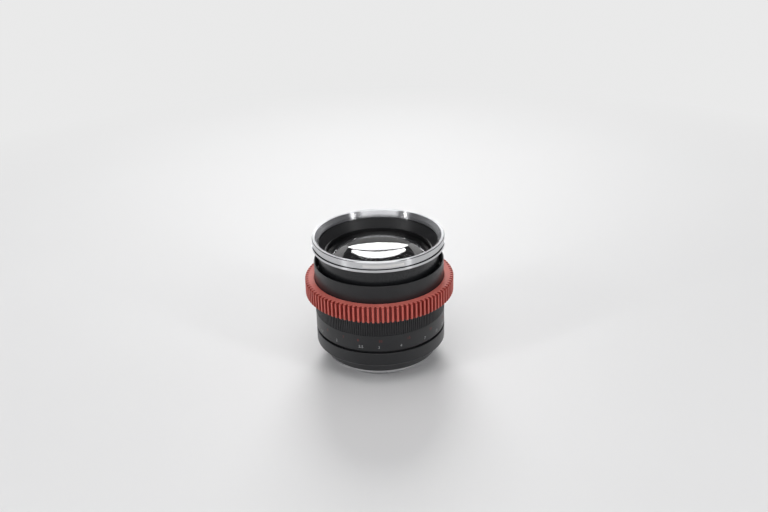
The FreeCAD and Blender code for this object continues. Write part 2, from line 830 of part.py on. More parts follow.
def follow_focus_gear():
    """The toothed ring for a follow-focus drive, pushed over the focus ring."""
    tip, edge = gear_radius, S.gear_chamfer
    face = toothed_face(S.gear_teeth, tip, tip - S.tooth_depth, S.tooth_tip_share, S.tooth_foot_share)
    outline = [(tip - tip, gear_bottom), (tip - edge, gear_bottom), (tip, gear_bottom + edge),
               (tip, gear_top - edge), (tip - edge, gear_top), (tip - tip, gear_top)]
    points = [FreeCAD.Vector(radius.value, 0, height.value) for radius, height in outline]
    envelope = Part.Face(Part.makePolygon(points + points[:1]))
    envelope = envelope.revolve(FreeCAD.Vector(0, 0, 0), FreeCAD.Vector(0, 0, 1), 360)
    solid = raised(face, gear_bottom, gear_top).common(envelope)
    bore = round_bar(gear_bore, gear_bottom - S.overshoot, gear_top + S.overshoot)
    return shaped("follow_focus_gear", solid.cut(bore))


# The front tube and rings, which slide with the optics

def front_tube():
    flange_low = hood_bottom - S.tube_flange_height
    front_bore = tube_radius - S.tube_front_wall
    blank = turned("front_tube_blank", [
        (tube_bore, tube_bottom), (tube_radius, tube_bottom), (tube_radius, flange_low),
        (tube_radius + S.tube_flange_reach, flange_low), (tube_radius + S.tube_flange_reach, hood_bottom),
        (front_bore, hood_bottom), (front_bore, front_cell_top), (tube_bore, front_cell_top),
        (tube_bore, core_flange_bottom), (core_radius + S.slide_gap, core_flange_bottom),
        (core_radius + S.slide_gap, ledge_bottom), (tube_bore, ledge_bottom)])
    slots = []
    for number, azimuth in enumerate(key_azimuths, start=1):
        slots.append(sector(f"key_slot_{number}", sleeve_radius - S.overshoot, tube_radius + S.overshoot,
                            tube_bottom - S.overshoot, key_top + S.focus_travel + S.slide_gap,
                            azimuth - S.key_arc / 2.0 - S.key_play, S.key_arc + 2.0 * S.key_play))
    return cut("front_tube", blank, fuse("key_slots", slots))


def hood_mount_ring():
    """The bright ring round the front: a band, a groove and a lip, with the thread for filters inside."""
    outer = tube_radius + S.hood_reach
    lip = outer + S.hood_lip_extra
    bore = tube_radius - S.hood_bore_inset
    mouth = bore + S.hood_mouth_step
    lip_top = hood_bottom + S.hood_lip_height
    band_bottom = lip_top + S.hood_groove_height
    relief_top = hood_bottom + S.name_flange_height + S.relief_rise
    edge = S.hood_edge
    blank = turned("hood_mount_blank", [
        (bore, relief_top), (relief_radius, relief_top), (relief_radius, hood_bottom),
        (lip - S.edge_chamfer, hood_bottom), (lip, hood_bottom + S.edge_chamfer),
        (lip, lip_top), (outer - S.hood_groove_depth, lip_top), (outer - S.hood_groove_depth, band_bottom),
        (outer, band_bottom), (outer, hood_top - edge), (outer - edge, hood_top),
        (mouth + S.edge_chamfer, hood_top), (mouth, hood_top - S.edge_chamfer),
        (bore, hood_top - S.edge_chamfer - S.hood_lead_in)])
    recess = sector("hood_recess", outer - S.recess_depth, outer + S.overshoot, band_bottom - S.weld,
                    band_bottom + S.recess_height, S.recess_start, S.recess_arc)
    recesses = copies("hood_recess", recess, S.recess_count)
    return cut("hood_mount_ring", blank, fuse("hood_recesses", recesses))


def name_ring():
    outer = tube_radius - S.tube_front_wall - S.seat_gap
    flange = relief_radius - S.seat_gap
    top = hood_bottom + S.name_flange_height
    return turned("name_ring", [
        (S.front_glass_radius, front_cell_top), (outer, front_cell_top), (outer, hood_bottom),
        (flange, hood_bottom), (flange, top), (flange - S.name_rim_land, top)])


def front_retainer():
    inner = S.front_glass_radius - S.front_retainer_lip
    low = vertex_1 - sag(S.glass_1_front, inner) + S.glass_gap
    return plain_ring("front_retainer", inner, cell_bore - S.seat_gap, low, front_cell_top)


# The cells, the lens barrel inside the tube, and the glass

def front_cell():
    seat_1 = vertex_2 - sag(S.glass_1_rear, S.front_glass_radius) - S.glass_gap / 2.0
    seat_2 = vertex_4 - sag(S.glass_2_rear, S.glass_2_radius) - S.glass_gap / 2.0
    bore_2 = S.glass_2_radius + S.glass_gap
    bore_3 = S.glass_3_radius + S.glass_gap
    lock_bore = S.glass_2_radius + S.seat_land
    return turned("front_cell", [
        (S.glass_3_clear + S.cell_foot, cell_bottom), (inner_radius, cell_bottom),
        (inner_radius, core_flange_top), (cell_radius, core_flange_top), (cell_radius, front_cell_top),
        (cell_bore, front_cell_top), (cell_bore, seat_1), (cell_bore - S.seat_land, seat_1),
        (lock_bore, glass_2_lock_top), (lock_bore, glass_2_rim), (bore_2, glass_2_rim), (bore_2, seat_2),
        (bore_3, seat_2), (bore_3, glass_3_foot), (S.glass_3_clear + S.cell_foot, glass_3_foot)])


def element_2_retainer():
    inner = S.glass_2_radius - S.rim_land
    low = vertex_3 - sag(S.glass_2_front, inner) + S.glass_gap
    return plain_ring("element_2_retainer", inner, S.glass_2_radius + S.seat_land - S.seat_gap,
                      low, glass_2_lock_top)


def spacer_2_3():
    inner = S.glass_3_radius - S.seat_land
    low = vertex_5 - sag(S.glass_3_front, inner) + S.glass_gap
    top = vertex_4 - sag(S.glass_2_rear, S.glass_3_radius) - S.glass_gap
    return plain_ring("spacer_2_3", inner, S.glass_3_radius, low, top)


def lens_barrel():
    """The inner barrel: front cell above its web, iris on the web, rear cell through it."""
    x, y = along(pinion_centre_radius, S.motor_azimuth)
    blank = turned("lens_barrel_blank", [
        (rear_radius + S.seat_gap, core_web_bottom), (core_radius, core_web_bottom),
        (core_radius, core_flange_bottom), (cell_radius, core_flange_bottom), (cell_radius, core_flange_top),
        (core_bore, core_flange_top), (core_bore, core_web_top), (rear_radius + S.seat_gap, core_web_top)])
    hole = cylinder("motor_shaft_hole", S.shaft_radius + S.slide_gap, core_web_bottom - S.overshoot,
                    core_web_top + S.overshoot, x, y)
    return cut("lens_barrel", blank, hole)


def rear_cell():
    flange = rear_radius + S.rear_flange_reach
    bore_4 = S.glass_4_radius + S.glass_gap
    bore_6 = S.glass_6_radius + S.glass_gap
    lip = S.glass_4_radius - S.seat_land
    seat_5 = vertex_9 + sag(S.glass_5_rear, lip) - S.glass_gap
    seat_6 = vertex_10 - sag(S.glass_6_front, lip) + S.glass_gap
    blank = turned("rear_cell_blank", [
        (bore_6, rear_bottom), (rear_radius, rear_bottom),
        (rear_radius, core_web_bottom - S.rear_flange_height),
        (flange, core_web_bottom - S.rear_flange_height), (flange, core_web_bottom),
        (rear_radius, core_web_bottom), (rear_radius, doublet_top), (bore_4, doublet_top), (bore_4, seat_5),
        (lip, seat_5), (lip, seat_6), (bore_6, seat_6)])
    x, y = along(pinion_centre_radius, S.motor_azimuth)
    pocket = cylinder("motor_pocket", S.motor_radius + S.motor_gap, motor_top - S.motor_length - S.overshoot,
                      motor_top + S.weld, x, y)
    return cut("rear_cell", blank, pocket)


def doublet_retainer():
    return plain_ring("doublet_retainer", S.glass_4_clear + S.seat_gap, rear_radius,
                      doublet_top + S.glass_gap / 2.0, doublet_top + S.doublet_retainer_height)


def rear_retainer():
    inner = S.glass_6_radius - S.seat_land
    high = vertex_11 + sag(S.glass_6_rear, inner) - S.glass_gap
    return plain_ring("rear_retainer", inner, S.glass_6_radius, rear_bottom + S.rim_land, high)


def element(label, radius, front, front_bulges, rear, rear_bulges, low, high):
    """One piece of glass: a cylinder shaped by two balls, each given as (curve, height on the axis)."""
    solid = cylinder(label + "_blank", radius, low, high)
    for end, (curve, height), bulges, side in (("front", front, front_bulges, -1.0),
                                               ("rear", rear, rear_bulges, 1.0)):
        toward = side if bulges else -side
        shape = ball(f"{label}_{end}_ball", curve, height + toward * curve)
        last = label if end == "rear" else label + "_ground"
        solid = common(last, solid, shape) if bulges else cut(last, solid, shape)
    return solid


def glass():
    """The six elements in five groups. A surface that bulges is convex seen from outside its element."""
    foot_1 = vertex_2 - sag(S.glass_1_rear, S.front_glass_radius - S.rim_land)
    foot_2 = vertex_4 - sag(S.glass_2_rear, S.glass_2_radius - S.rim_land)
    over = S.overshoot
    return [
        element("element_1", S.front_glass_radius, (S.glass_1_front, vertex_1), True,
                (S.glass_1_rear, vertex_2), False, foot_1, vertex_1 + over),
        element("element_2", S.glass_2_radius, (S.glass_2_front, vertex_3), True,
                (S.glass_2_rear, vertex_4), False, foot_2, vertex_3 + over),
        element("element_3", S.glass_3_radius, (S.glass_3_front, vertex_5), True,
                (S.glass_3_rear, vertex_6), False, glass_3_foot, vertex_5 + over),
        element("element_4", S.glass_4_radius, (S.glass_4_front, vertex_7), False,
                (S.glass_4_rear, vertex_8), False,
                vertex_8 - sag(S.glass_4_rear, S.glass_4_radius - S.rim_land), doublet_top),
        element("element_5", S.glass_4_radius, (S.glass_4_rear, vertex_8 - S.cement), True,
                (S.glass_5_rear, vertex_9), True, vertex_9 - over, vertex_8 + over),
        element("element_6", S.glass_6_radius, (S.glass_6_front, vertex_10), True,
                (S.glass_6_rear, vertex_11), True, vertex_11 - over, vertex_10 + over),
    ]


# The iris: nine blades between a fixed plate with their pivots and a cam ring that a motor turns

def iris_housing():
    bore = aperture_radius + S.plate_bore_extra
    shell = turned("iris_shell", [
        (bore, iris_top), (inner_radius - S.iris_wall, iris_top), (inner_radius - S.iris_wall, core_web_top),
        (inner_radius, core_web_top), (inner_radius, cell_bottom), (bore, cell_bottom)])
    x, y = along(pivot_radius, 0.0)
    post = cylinder("iris_post", S.post_radius, cam_top + S.post_end_gap, iris_top + S.post_root, x, y)
    return fuse("iris_housing", [shell] + copies("iris_post", post, S.blade_count))


def iris_blade(number):
    """A crescent on its own level, turned to its own pivot, with a hole for the post and a drive pin."""
    label = f"iris_blade_{number + 1}"
    high = iris_top - S.blade_pitch * (number + 0.5)
    low = high - S.blade_thickness
    px, py = along(pivot_radius, 0.0)
    qx, qy = along(S.drive_reach, S.drive_angle)
    heel = as_size(0.0) - S.blade_heel
    band = sector(label + "_band", aperture_radius, blade_outer, low, high, heel, S.blade_arc)
    ear = cylinder(label + "_ear", S.ear_radius, low, high, px, py)
    tip = cylinder(label + "_tip", S.drive_ear_radius, low, high, px + qx, py + qy)
    side_x, side_y = along(S.drive_ear_radius, S.drive_angle - 90.0)
    arm = block(label + "_arm", S.drive_reach, 2.0 * S.drive_ear_radius, low, high,
                px + side_x, py + side_y, S.drive_angle)
    pin = cylinder(label + "_pin", S.drive_pin_radius, cam_bottom + S.seat_gap, low + S.weld,
                   px + qx, py + qy)
    solid = fuse(label + "_solid", [band, ear, tip, arm, pin])
    hole = cylinder(label + "_hole", S.post_radius + S.run_gap, low - S.overshoot, high + S.overshoot, px, py)
    flat = cut(label + "_flat", solid, hole)
    blade = group(label, [flat])
    return put(blade, turn=number * 360.0 / S.blade_count)


def iris_cam_ring():
    """The ring whose nine slots drive the blades, with teeth inside its skirt for the motor's pinion."""
    bore = aperture_radius + S.plate_bore_extra
    plate = round_bar(cam_radius, cam_bottom, cam_top)
    plate = plate.cut(round_bar(bore, cam_bottom - S.overshoot, cam_top + S.overshoot))
    skirt = round_bar(cam_radius - S.cam_tooth_up, rack_bottom, cam_bottom)
    tip = cam_pitch_radius - S.cam_tooth_up
    foot = cam_pitch_radius + S.cam_tooth_down
    # The skirt's opening is a toothed face whose own teeth are the gaps between the ring's teeth
    opening = toothed_face(S.cam_teeth, foot, tip, S.cam_tip_share, S.cam_foot_share, S.motor_azimuth)
    skirt = skirt.cut(raised(opening, rack_bottom - S.overshoot, cam_bottom + S.overshoot))
    ring = plate.fuse(skirt)
    slot = cam_slot()
    for number in range(int(S.blade_count.value)):
        turned_slot = slot.copy()
        turned_slot.rotate(FreeCAD.Vector(0, 0, 0), FreeCAD.Vector(0, 0, 1),
                           number * 360.0 / S.blade_count.value)
        ring = ring.cut(turned_slot)
    return shaped("iris_cam_ring", ring)


def drive_pin_place(share):
    """Where the drive pin of the first blade is, in the cam ring's own frame, as the iris closes."""
    turn = math.radians(S.drive_angle.value + share * S.cam_turn.value * S.blade_ratio.value)
    x = pivot_radius.value + S.drive_reach.value * math.cos(turn)
    y = S.drive_reach.value * math.sin(turn)
    back = FreeCAD.Rotation(FreeCAD.Vector(0, 0, 1), -share * S.cam_turn.value)
    return back.multVec(FreeCAD.Vector(x, y, 0))


def cam_slot():
    """The path of the drive pin as short straight slots, each as wide as the pin and its play."""
    half = (S.drive_pin_radius + S.slot_play).value
    low, height = (cam_bottom - S.overshoot).value, (S.cam_plate + 2.0 * S.overshoot).value
    steps = int(S.slot_steps.value)
    places = [drive_pin_place(number / steps) for number in range(steps + 1)]
    pieces = []
    for start, end in zip(places, places[1:]):
        run = (end - start).normalize()
        side = FreeCAD.Vector(-run.y, run.x, 0) * half
        corners = [start + side, end + side, end - side, start - side]
        face = Part.Face(Part.makePolygon(corners + corners[:1]))
        face.translate(FreeCAD.Vector(0, 0, low))
        pieces.append(face.extrude(FreeCAD.Vector(0, 0, height)))
    for place in places:
        pieces.append(Part.makeCylinder(half, height, FreeCAD.Vector(place.x, place.y, low)))
    return pieces[0].multiFuse(pieces[1:]).removeSplitter()


def iris_bearing():
    inner = rear_radius + S.slide_gap
    ring = plain_ring("iris_bearing_ring", inner, inner + S.iris_bearing_reach,
                      core_web_top, cam_bottom - S.run_gap)
    x, y = along(pinion_centre_radius, S.motor_azimuth)
    pocket = cylinder("pinion_pocket", pinion_radius + S.cam_tooth_up + S.slide_gap,
                      core_web_top - S.overshoot, cam_bottom + S.overshoot, x, y)
    return cut("iris_bearing", ring, pocket)


def motor_pinion():
    tip = pinion_radius + S.cam_tooth_up
    foot = pinion_radius - S.cam_tooth_down
    face = toothed_face(S.pinion_teeth, tip, foot, S.pinion_tip_share, S.pinion_foot_share, S.motor_azimuth)
    gear = raised(face, rack_bottom + S.pinion_play, cam_bottom - S.pinion_play)
    shaft = round_bar(S.shaft_radius, motor_top - S.motor_shaft_reach, cam_bottom - S.pinion_play)
    pinion = shaped("motor_pinion", gear.fuse(shaft))
    x, y = along(pinion_centre_radius, S.motor_azimuth)
    pinion.Placement = FreeCAD.Placement(FreeCAD.Vector(x.value, y.value, 0), FreeCAD.Rotation())
    return pinion


def iris_motor():
    x, y = along(pinion_centre_radius, S.motor_azimuth)
    can = cylinder("motor_can", S.motor_radius, motor_top - S.motor_length, motor_top, x, y)
    hole = cylinder("motor_bearing", S.shaft_radius + S.run_gap, motor_top - S.motor_bore_depth,
                    motor_top + S.overshoot, x, y)
    return cut("iris_motor", can, hole)


def flex_print():
    """The flexible circuit from the board to the iris motor."""
    low = floor_top + S.board_thickness
    high = motor_top - S.motor_length - S.run_gap * 2.0
    strip = block("flex_strip", S.flex_thickness, S.flex_width, low, high,
                  x=pinion_centre_radius + S.flex_offset, y=S.flex_width * -0.5)
    flex = group("flex_print", [strip])
    return put(flex, turn=S.motor_azimuth)


def build():
    parts = [
        bayonet_mount(), mount_screws(), contact_block(),
        group("contact_pins", contact_rods("contact_pin", S.contact_radius)),
        rear_baffle(), rear_collar(), circuit_board(), board_chips(), base_ring(), fixed_barrel(),
        barrel_screws(), guide_keys(), guide_key_screws(), focus_retainer(), focus_stop(), flex_print(),
        focus_ring(), helicoid_nut(), group("focus_ring_screws", focus_screw_rods("focus_screw", 0.0, 0.0)),
        follow_focus_gear(), front_tube(), hood_mount_ring(), name_ring(), front_retainer(),
        front_cell(), element_2_retainer(), spacer_2_3(), lens_barrel(), rear_cell(), doublet_retainer(),
        rear_retainer(), iris_housing(), iris_bearing(), iris_cam_ring(), motor_pinion(), iris_motor(),
    ]
    parts += glass()
    parts += [iris_blade(number) for number in range(int(S.blade_count.value))]
    return parts


def check(parts):
    for item in DOC.Objects:
        if "Invalid" in item.State or "Error" in item.State:
            raise RuntimeError(f"{item.Label} failed: {item.State}")
    for part in parts:
        if part.Shape.isNull() or not part.Shape.isValid() or not part.Shape.Solids:
            raise RuntimeError(f"{part.Label} has no valid solid")


def write(parts):
    os.makedirs("parts", exist_ok=True)
    for part in parts:
        part.Shape.exportStep(os.path.join("parts", part.Label + ".step"))
        volume = sum(solid.Volume for solid in part.Shape.Solids)
        print(f"{part.Label}: {len(part.Shape.Solids)} solids, {volume:.1f} mm3")


PARTS = build()
DOC.recompute()
check(PARTS)
write(PARTS)
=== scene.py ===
import math

import bmesh
import bpy
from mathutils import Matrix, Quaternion, Vector

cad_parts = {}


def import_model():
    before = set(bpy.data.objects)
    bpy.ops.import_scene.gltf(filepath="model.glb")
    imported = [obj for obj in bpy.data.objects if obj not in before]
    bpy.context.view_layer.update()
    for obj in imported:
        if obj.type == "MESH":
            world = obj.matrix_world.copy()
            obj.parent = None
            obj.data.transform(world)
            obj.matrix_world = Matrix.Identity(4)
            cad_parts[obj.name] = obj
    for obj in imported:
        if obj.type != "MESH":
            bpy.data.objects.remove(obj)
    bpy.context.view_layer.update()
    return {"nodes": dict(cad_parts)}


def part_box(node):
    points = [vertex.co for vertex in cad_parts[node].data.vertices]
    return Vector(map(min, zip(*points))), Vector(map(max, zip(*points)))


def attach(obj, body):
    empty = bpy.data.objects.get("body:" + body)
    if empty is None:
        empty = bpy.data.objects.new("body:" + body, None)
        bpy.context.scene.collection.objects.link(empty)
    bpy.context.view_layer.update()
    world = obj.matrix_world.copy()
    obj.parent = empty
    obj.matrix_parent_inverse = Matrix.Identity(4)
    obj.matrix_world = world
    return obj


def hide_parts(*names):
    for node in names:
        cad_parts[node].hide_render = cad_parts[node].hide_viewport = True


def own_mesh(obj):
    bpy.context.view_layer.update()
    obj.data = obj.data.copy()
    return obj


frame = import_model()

# A short telephoto lens on a pale floor. Metres and degrees, in the CAD model's own frame.
# Azimuths are counted from the side that faces the camera, to the right of it.

MM = 0.001
NODES = frame["nodes"]


# Sizes taken from the frame

def low(node):
    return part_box(node)[0]


def high(node):
    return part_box(node)[1]


BARREL_RADIUS = high("base_ring").x
BASE_TOP = high("base_ring").z
COLLAR_TOP = high("rear_collar").z
SCALE_BOTTOM = low("focus_ring").z
GEAR_RADIUS = high("follow_focus_gear").x
GEAR_TOP = high("follow_focus_gear").z
RING_RADIUS = high("hood_mount_ring").x
RING_BOTTOM = low("hood_mount_ring").z
FRONT = high("hood_mount_ring").z
LENS_TOP = high("element_1").z

# Sizes of the CAD model that its boxes don't show

LIP_TOP = RING_BOTTOM + 1.65 * MM
FRONT_CURVE = 80.0 * MM
THREAD_RADIUS = 35.6 * MM
BEAD_SEAT_RADIUS = 35.2 * MM


# Building with shader nodes

NOISE_LOW, NOISE_HIGH = 0.3, 0.7
GRAIN_DEPTH = 0.02 * MM


class Nodes:
    """A node tree, built a few words at a time. A source is a node's output, a number or a colour."""

    def __init__(self, tree):
        self.tree = tree

    def node(self, kind, **values):
        """A new node. Each value goes to the socket of that name, or else to the node's own setting."""
        made = self.tree.nodes.new("ShaderNode" + kind)
        for name, value in values.items():
            socket = name.replace("_", " ")
            if socket in made.inputs:
                made.inputs[socket].default_value = value
            else:
                setattr(made, name, value)
        return made

    def join(self, source, target):
        """Links an output to a socket, or sets a plain number or colour on it."""
        if isinstance(source, (int, float)):
            target.default_value = source
        elif isinstance(source, tuple):
            target.default_value = (*source, 1.0)
        else:
            self.tree.links.new(source, target)

    def maths(self, kind, first, second):
        made = self.node("Math", operation=kind)
        for source, target in zip((first, second), made.inputs):
            self.join(source, target)
        return made.outputs[0]

    def colours(self, source, stops):
        """A ramp of colours. Each stop is (value, colour)."""
        ramp = self.node("ValToRGB")
        elements = ramp.color_ramp.elements
        while len(elements) < len(stops):
            elements.new(0.5)
        for element, (position, colour) in zip(elements, stops):
            element.position = position
            element.color = (*colour, 1.0)
        self.join(source, ramp.inputs["Fac"])
        return ramp.outputs["Color"]

    def mixed(self, share, first, second, way="MIX"):
        """The first colour, with the second put on it in this way as far as the share says."""
        mix = self.node("Mix", data_type="RGBA", blend_type=way)
        first_colour, second_colour, result = mix.inputs[6], mix.inputs[7], mix.outputs[2]
        self.join(share, mix.inputs["Factor"])
        self.join(first, first_colour)
        self.join(second, second_colour)
        return result


class Shader(Nodes):
    """A node material with a Principled surface, whose own sockets are set by name."""

    def __init__(self, name, **sockets):
        self.material = bpy.data.materials.new(name)
        self.material.use_nodes = True
        super().__init__(self.material.node_tree)
        self.surface = self.tree.nodes["Principled BSDF"]
        self.surface_roughness = self.surface.inputs["Roughness"]
        for socket, value in sockets.items():
            self.surface.inputs[socket.replace("_", " ")].default_value = value

    def place(self, scale=(1, 1, 1)):
        """The object's own coordinates, stretched by this scale."""
        coordinates = self.node("TexCoord")
        mapping = self.node("Mapping", Scale=scale)
        self.join(coordinates.outputs["Object"], mapping.inputs["Vector"])
        return mapping.outputs["Vector"]

    def height(self):
        split = self.node("SeparateXYZ")
        self.join(self.place(), split.inputs[0])
        return split.outputs["Z"]

    def distance_out(self):
        """How far a point lies from the lens axis."""
        flat = self.node("VectorMath", operation="LENGTH")
        self.join(self.place((1, 1, 0)), flat.inputs[0])
        return flat.outputs["Value"]

    def noise(self, scale, detail, stretch=(1, 1, 1)):
        made = self.node("TexNoise", Scale=scale, Detail=detail, Roughness=0.55)
        self.join(self.place(stretch), made.inputs["Vector"])
        return made.outputs["Fac"]

    def rings(self, spacing):
        """Turning marks: bands along the lens axis, this far apart, with a little unevenness."""
        radians_per_metre_at_scale_one = 20.0
        scale = 2.0 * math.pi / spacing / radians_per_metre_at_scale_one
        made = self.node("TexWave", Scale=scale, Distortion=1.2, Detail=2.0, Detail_Scale=3.0,
                         wave_type="BANDS", bands_direction="Z")
        self.join(self.place(), made.inputs["Vector"])
        return made.outputs["Fac"]

    def spread(self, source, start, end, result_low=0.0, result_high=1.0):
        """Maps a value from one range to another, and holds it inside."""
        made = self.node("MapRange", From_Min=start, From_Max=end, To_Min=result_low, To_Max=result_high)
        self.join(source, made.inputs["Value"])
        return made.outputs["Result"]

    def within(self, source, start, end, blur):
        """One where the value lies between start and end, fading to nought over the blur."""
        rising = self.spread(source, start - blur, start)
        falling = self.spread(source, end, end + blur, 1.0, 0.0)
        return self.maths("MULTIPLY", rising, falling)

    def zone(self, distances, heights, blur):
        """One inside a ring round the lens axis, between two distances from it and two heights."""
        out = self.within(self.distance_out(), *distances, blur)
        tall = self.within(self.height(), *heights, blur)
        return self.maths("MULTIPLY", out, tall)

    def between(self, source, first, second, start=NOISE_LOW, end=NOISE_HIGH):
        """Fades from the first colour to the second as the value goes from start to end."""
        return self.colours(source, [(start, first), (end, second)])

    def haze(self, shade):
        """The shade of satin plating, faintly uneven."""
        return self.between(self.noise(scale=160.0, detail=4.0), times(shade, 0.93), shade)

    def brushing(self, smooth, rough):
        """A roughness in short level strokes, as a tool leaves it on turned metal."""
        strokes = self.noise(scale=900.0, detail=3.0, stretch=(0.12, 0.12, 1.0))
        return self.spread(strokes, NOISE_LOW, NOISE_HIGH, smooth, rough)

    def soften_edges(self, radius):
        """Edges catch the light as if they were rounded by this radius."""
        return self.node("Bevel", Radius=radius, samples=4).outputs["Normal"]

    def paint(self, source):
        self.join(source, self.surface.inputs["Base Color"])

    def roughen(self, source, smooth, rough):
        """Makes the surface smooth where the noise is low and rough where it is high."""
        self.join(self.spread(source, NOISE_LOW, NOISE_HIGH, smooth, rough), self.surface_roughness)

    def bumps(self, *layers, normal=None):
        """Each layer is (value, distance in metres, strength). The first lies deepest."""
        for value, distance, strength in layers:
            bump = self.node("Bump", Distance=distance, Strength=strength)
            self.join(value, bump.inputs["Height"])
            if normal is not None:
                self.join(normal, bump.inputs["Normal"])
            normal = bump.outputs["Normal"]
        self.join(normal, self.surface.inputs["Normal"])

    def turned_bumps(self, pitch, depth):
        """The tool's rings, this far apart and this deep, under a fine blasted grain."""
        grain = self.noise(scale=1800.0, detail=2.0)
        self.bumps((self.rings(pitch), depth, 0.3), (grain, depth * 0.5, 0.15))

    def show(self, shader):
        """Puts this shader on the material instead of the Principled surface."""
        self.join(shader, self.tree.nodes["Material Output"].inputs["Surface"])


def times(shade, share):
    """The shade, darker or lighter by this share."""
    return tuple(min(1.0, part * share) for part in shade)


# Finishes

def black_metal(name, shade, smooth, rough):
    """Black anodised aluminium: a fine blasted grain, with broad soft variation."""
    made = Shader(name, Specular_IOR_Level=0.42)
    broad = made.noise(scale=45.0, detail=3.0)
    grain = made.noise(scale=2600.0, detail=3.0)
    made.paint(made.between(broad, times(shade, 0.82), times(shade, 1.18), start=0.35, end=0.65))
    made.roughen(grain, smooth, rough)
    made.bumps((grain, GRAIN_DEPTH, 0.35), (made.rings(0.22 * MM), GRAIN_DEPTH * 0.5, 0.12))
    return made.material


def bright_metal(name, shade, smooth, rough, pitch, depth):
    """Satin plating over turned metal: fine rings left by the tool, and a faint haze."""
    made = Shader(name, Metallic=1.0)
    made.paint(made.haze(shade))
    made.join(made.brushing(smooth, rough), made.surface_roughness)
    made.turned_bumps(pitch, depth)
    return made.material


def front_chrome():
    """The bright front ring: turned satin chrome, blasted on its top face, with a painted shade line low in
    its groove and painted light that makes the floors of its three recesses lighter."""
    made = Shader("chrome_satin", Metallic=1.0, Anisotropic=1.0, Anisotropic_Rotation=0.25)
    groove_distances = (RING_RADIUS - 2.0 * MM, RING_RADIUS - 0.25 * MM)
    groove_heights = (LIP_TOP - 0.02 * MM, LIP_TOP + 0.45 * MM)
    recess_distances = (RING_RADIUS - 0.75 * MM, RING_RADIUS - 0.5 * MM)
    recess_heights = (LIP_TOP + 1.2 * MM, LIP_TOP + 2.9 * MM)
    plating = (0.62, 0.625, 0.64)
    painted_recess_light = (0.78, 0.772, 0.765)
    painted_groove_shade = (0.07, 0.07, 0.075)
    # Painted shade: a dark line low in the groove. Painted light: lighter floors in the three recesses.
    recesses = made.zone(recess_distances, recess_heights, blur=0.05 * MM)
    groove = made.zone(groove_distances, groove_heights, blur=0.1 * MM)
    made.paint(made.mixed(groove, made.mixed(recesses, made.haze(plating), painted_recess_light), painted_groove_shade))
    brushed = made.brushing(smooth=0.19, rough=0.25)
    top_face = made.spread(made.height(), FRONT - 0.06 * MM, FRONT - 0.03 * MM, 0.0, 0.32)
    made.join(made.maths("ADD", brushed, top_face), made.surface_roughness)
    made.turned_bumps(pitch=0.18 * MM, depth=0.006 * MM)
    around = made.node("Tangent", direction_type="RADIAL", axis="Z")
    made.join(around.outputs["Tangent"], made.surface.inputs["Tangent"])
    return made.material


def gear_plastic():
    """Matt red moulded plastic, with painted highlight on its tooth tips, painted sheen on its upper face,
    and darker painted shade elsewhere.
    """
    made = Shader("gear_red", Specular_IOR_Level=0.3, Sheen_Weight=0.15, Sheen_Roughness=0.45,
                  Sheen_Tint=(1.0, 0.86, 0.83, 1.0))
    mottle = made.noise(scale=210.0, detail=5.0)
    # Painted light: the lighter red on the tooth tips and upper face is painted highlight and sheen; the
    # darker red elsewhere is painted shade.
    painted_shade_red = made.between(mottle, (0.26, 0.024, 0.017), (0.32, 0.033, 0.024))
    painted_highlight_red = made.between(mottle, (0.56, 0.122, 0.096), (0.66, 0.152, 0.122))
    tips = made.spread(made.distance_out(), GEAR_RADIUS - 0.3 * MM, GEAR_RADIUS - 0.05 * MM, 0.0, 0.8)
    upper = made.spread(made.height(), GEAR_TOP - 0.15 * MM, GEAR_TOP - 0.05 * MM)
    made.paint(made.mixed(made.maths("MAXIMUM", tips, upper), painted_shade_red, painted_highlight_red))
    made.roughen(mottle, smooth=0.48, rough=0.62)
    moulding = made.noise(scale=1500.0, detail=3.0)
    made.bumps((moulding, 0.03 * MM, 0.4), normal=made.soften_edges(0.3 * MM))
    return made.material


def glass(name, tint, index, mirrored, **sockets):
    """Polished optical glass. Its index is lower than a real one, which stands for a coating that mirrors
    next to nothing, and what it still mirrors has a colour."""
    return Shader(name, Transmission_Weight=1.0, Roughness=0.0, IOR=index, Base_Color=(*tint, 1.0),
                  Specular_Tint=(*mirrored, 1.0), **sockets)


def front_glass():
    """The front element, with a hard clear coat on its outer face alone, which mirrors the studio."""
    made = glass("front_glass", tint=(0.80, 0.80, 0.80), index=1.03, mirrored=(0.3, 0.3, 0.3),
                 Coat_IOR=1.7, Coat_Roughness=0.012)
    fall = made.maths("MULTIPLY", made.maths("POWER", made.distance_out(), 2.0), 0.5 / FRONT_CURVE)
    level = made.maths("ADD", made.height(), fall)
    outer_face = made.spread(level, LENS_TOP - 1.0 * MM, LENS_TOP - 0.6 * MM)
    made.join(outer_face, made.surface.inputs["Coat Weight"])
    return made.material


def plain(name, shade, smooth, rough, metallic=0.0, scale=700.0):
    """A finish with a fine mottle: plating, paint, moulded plastic or film."""
    made = Shader(name, Metallic=metallic)
    mottle = made.noise(scale, detail=4.0)
    made.paint(made.between(mottle, times(shade, 0.85), times(shade, 1.1)))
    made.roughen(mottle, smooth, rough)
    made.bumps((mottle, GRAIN_DEPTH, 0.3))
    return made.material


def inner_black():
    """Flat black paint over a fine thread that traps light."""
    made = Shader("matt_black_inner", Specular_IOR_Level=0.3)
    mottle = made.noise(scale=1200.0, detail=3.0)
    made.paint(made.between(mottle, (0.007, 0.007, 0.008), (0.013, 0.013, 0.014)))
    made.roughen(mottle, smooth=0.45, rough=0.6)
    made.bumps((made.rings(0.6 * MM), 0.1 * MM, 0.5), (mottle, GRAIN_DEPTH, 0.3))
    return made.material


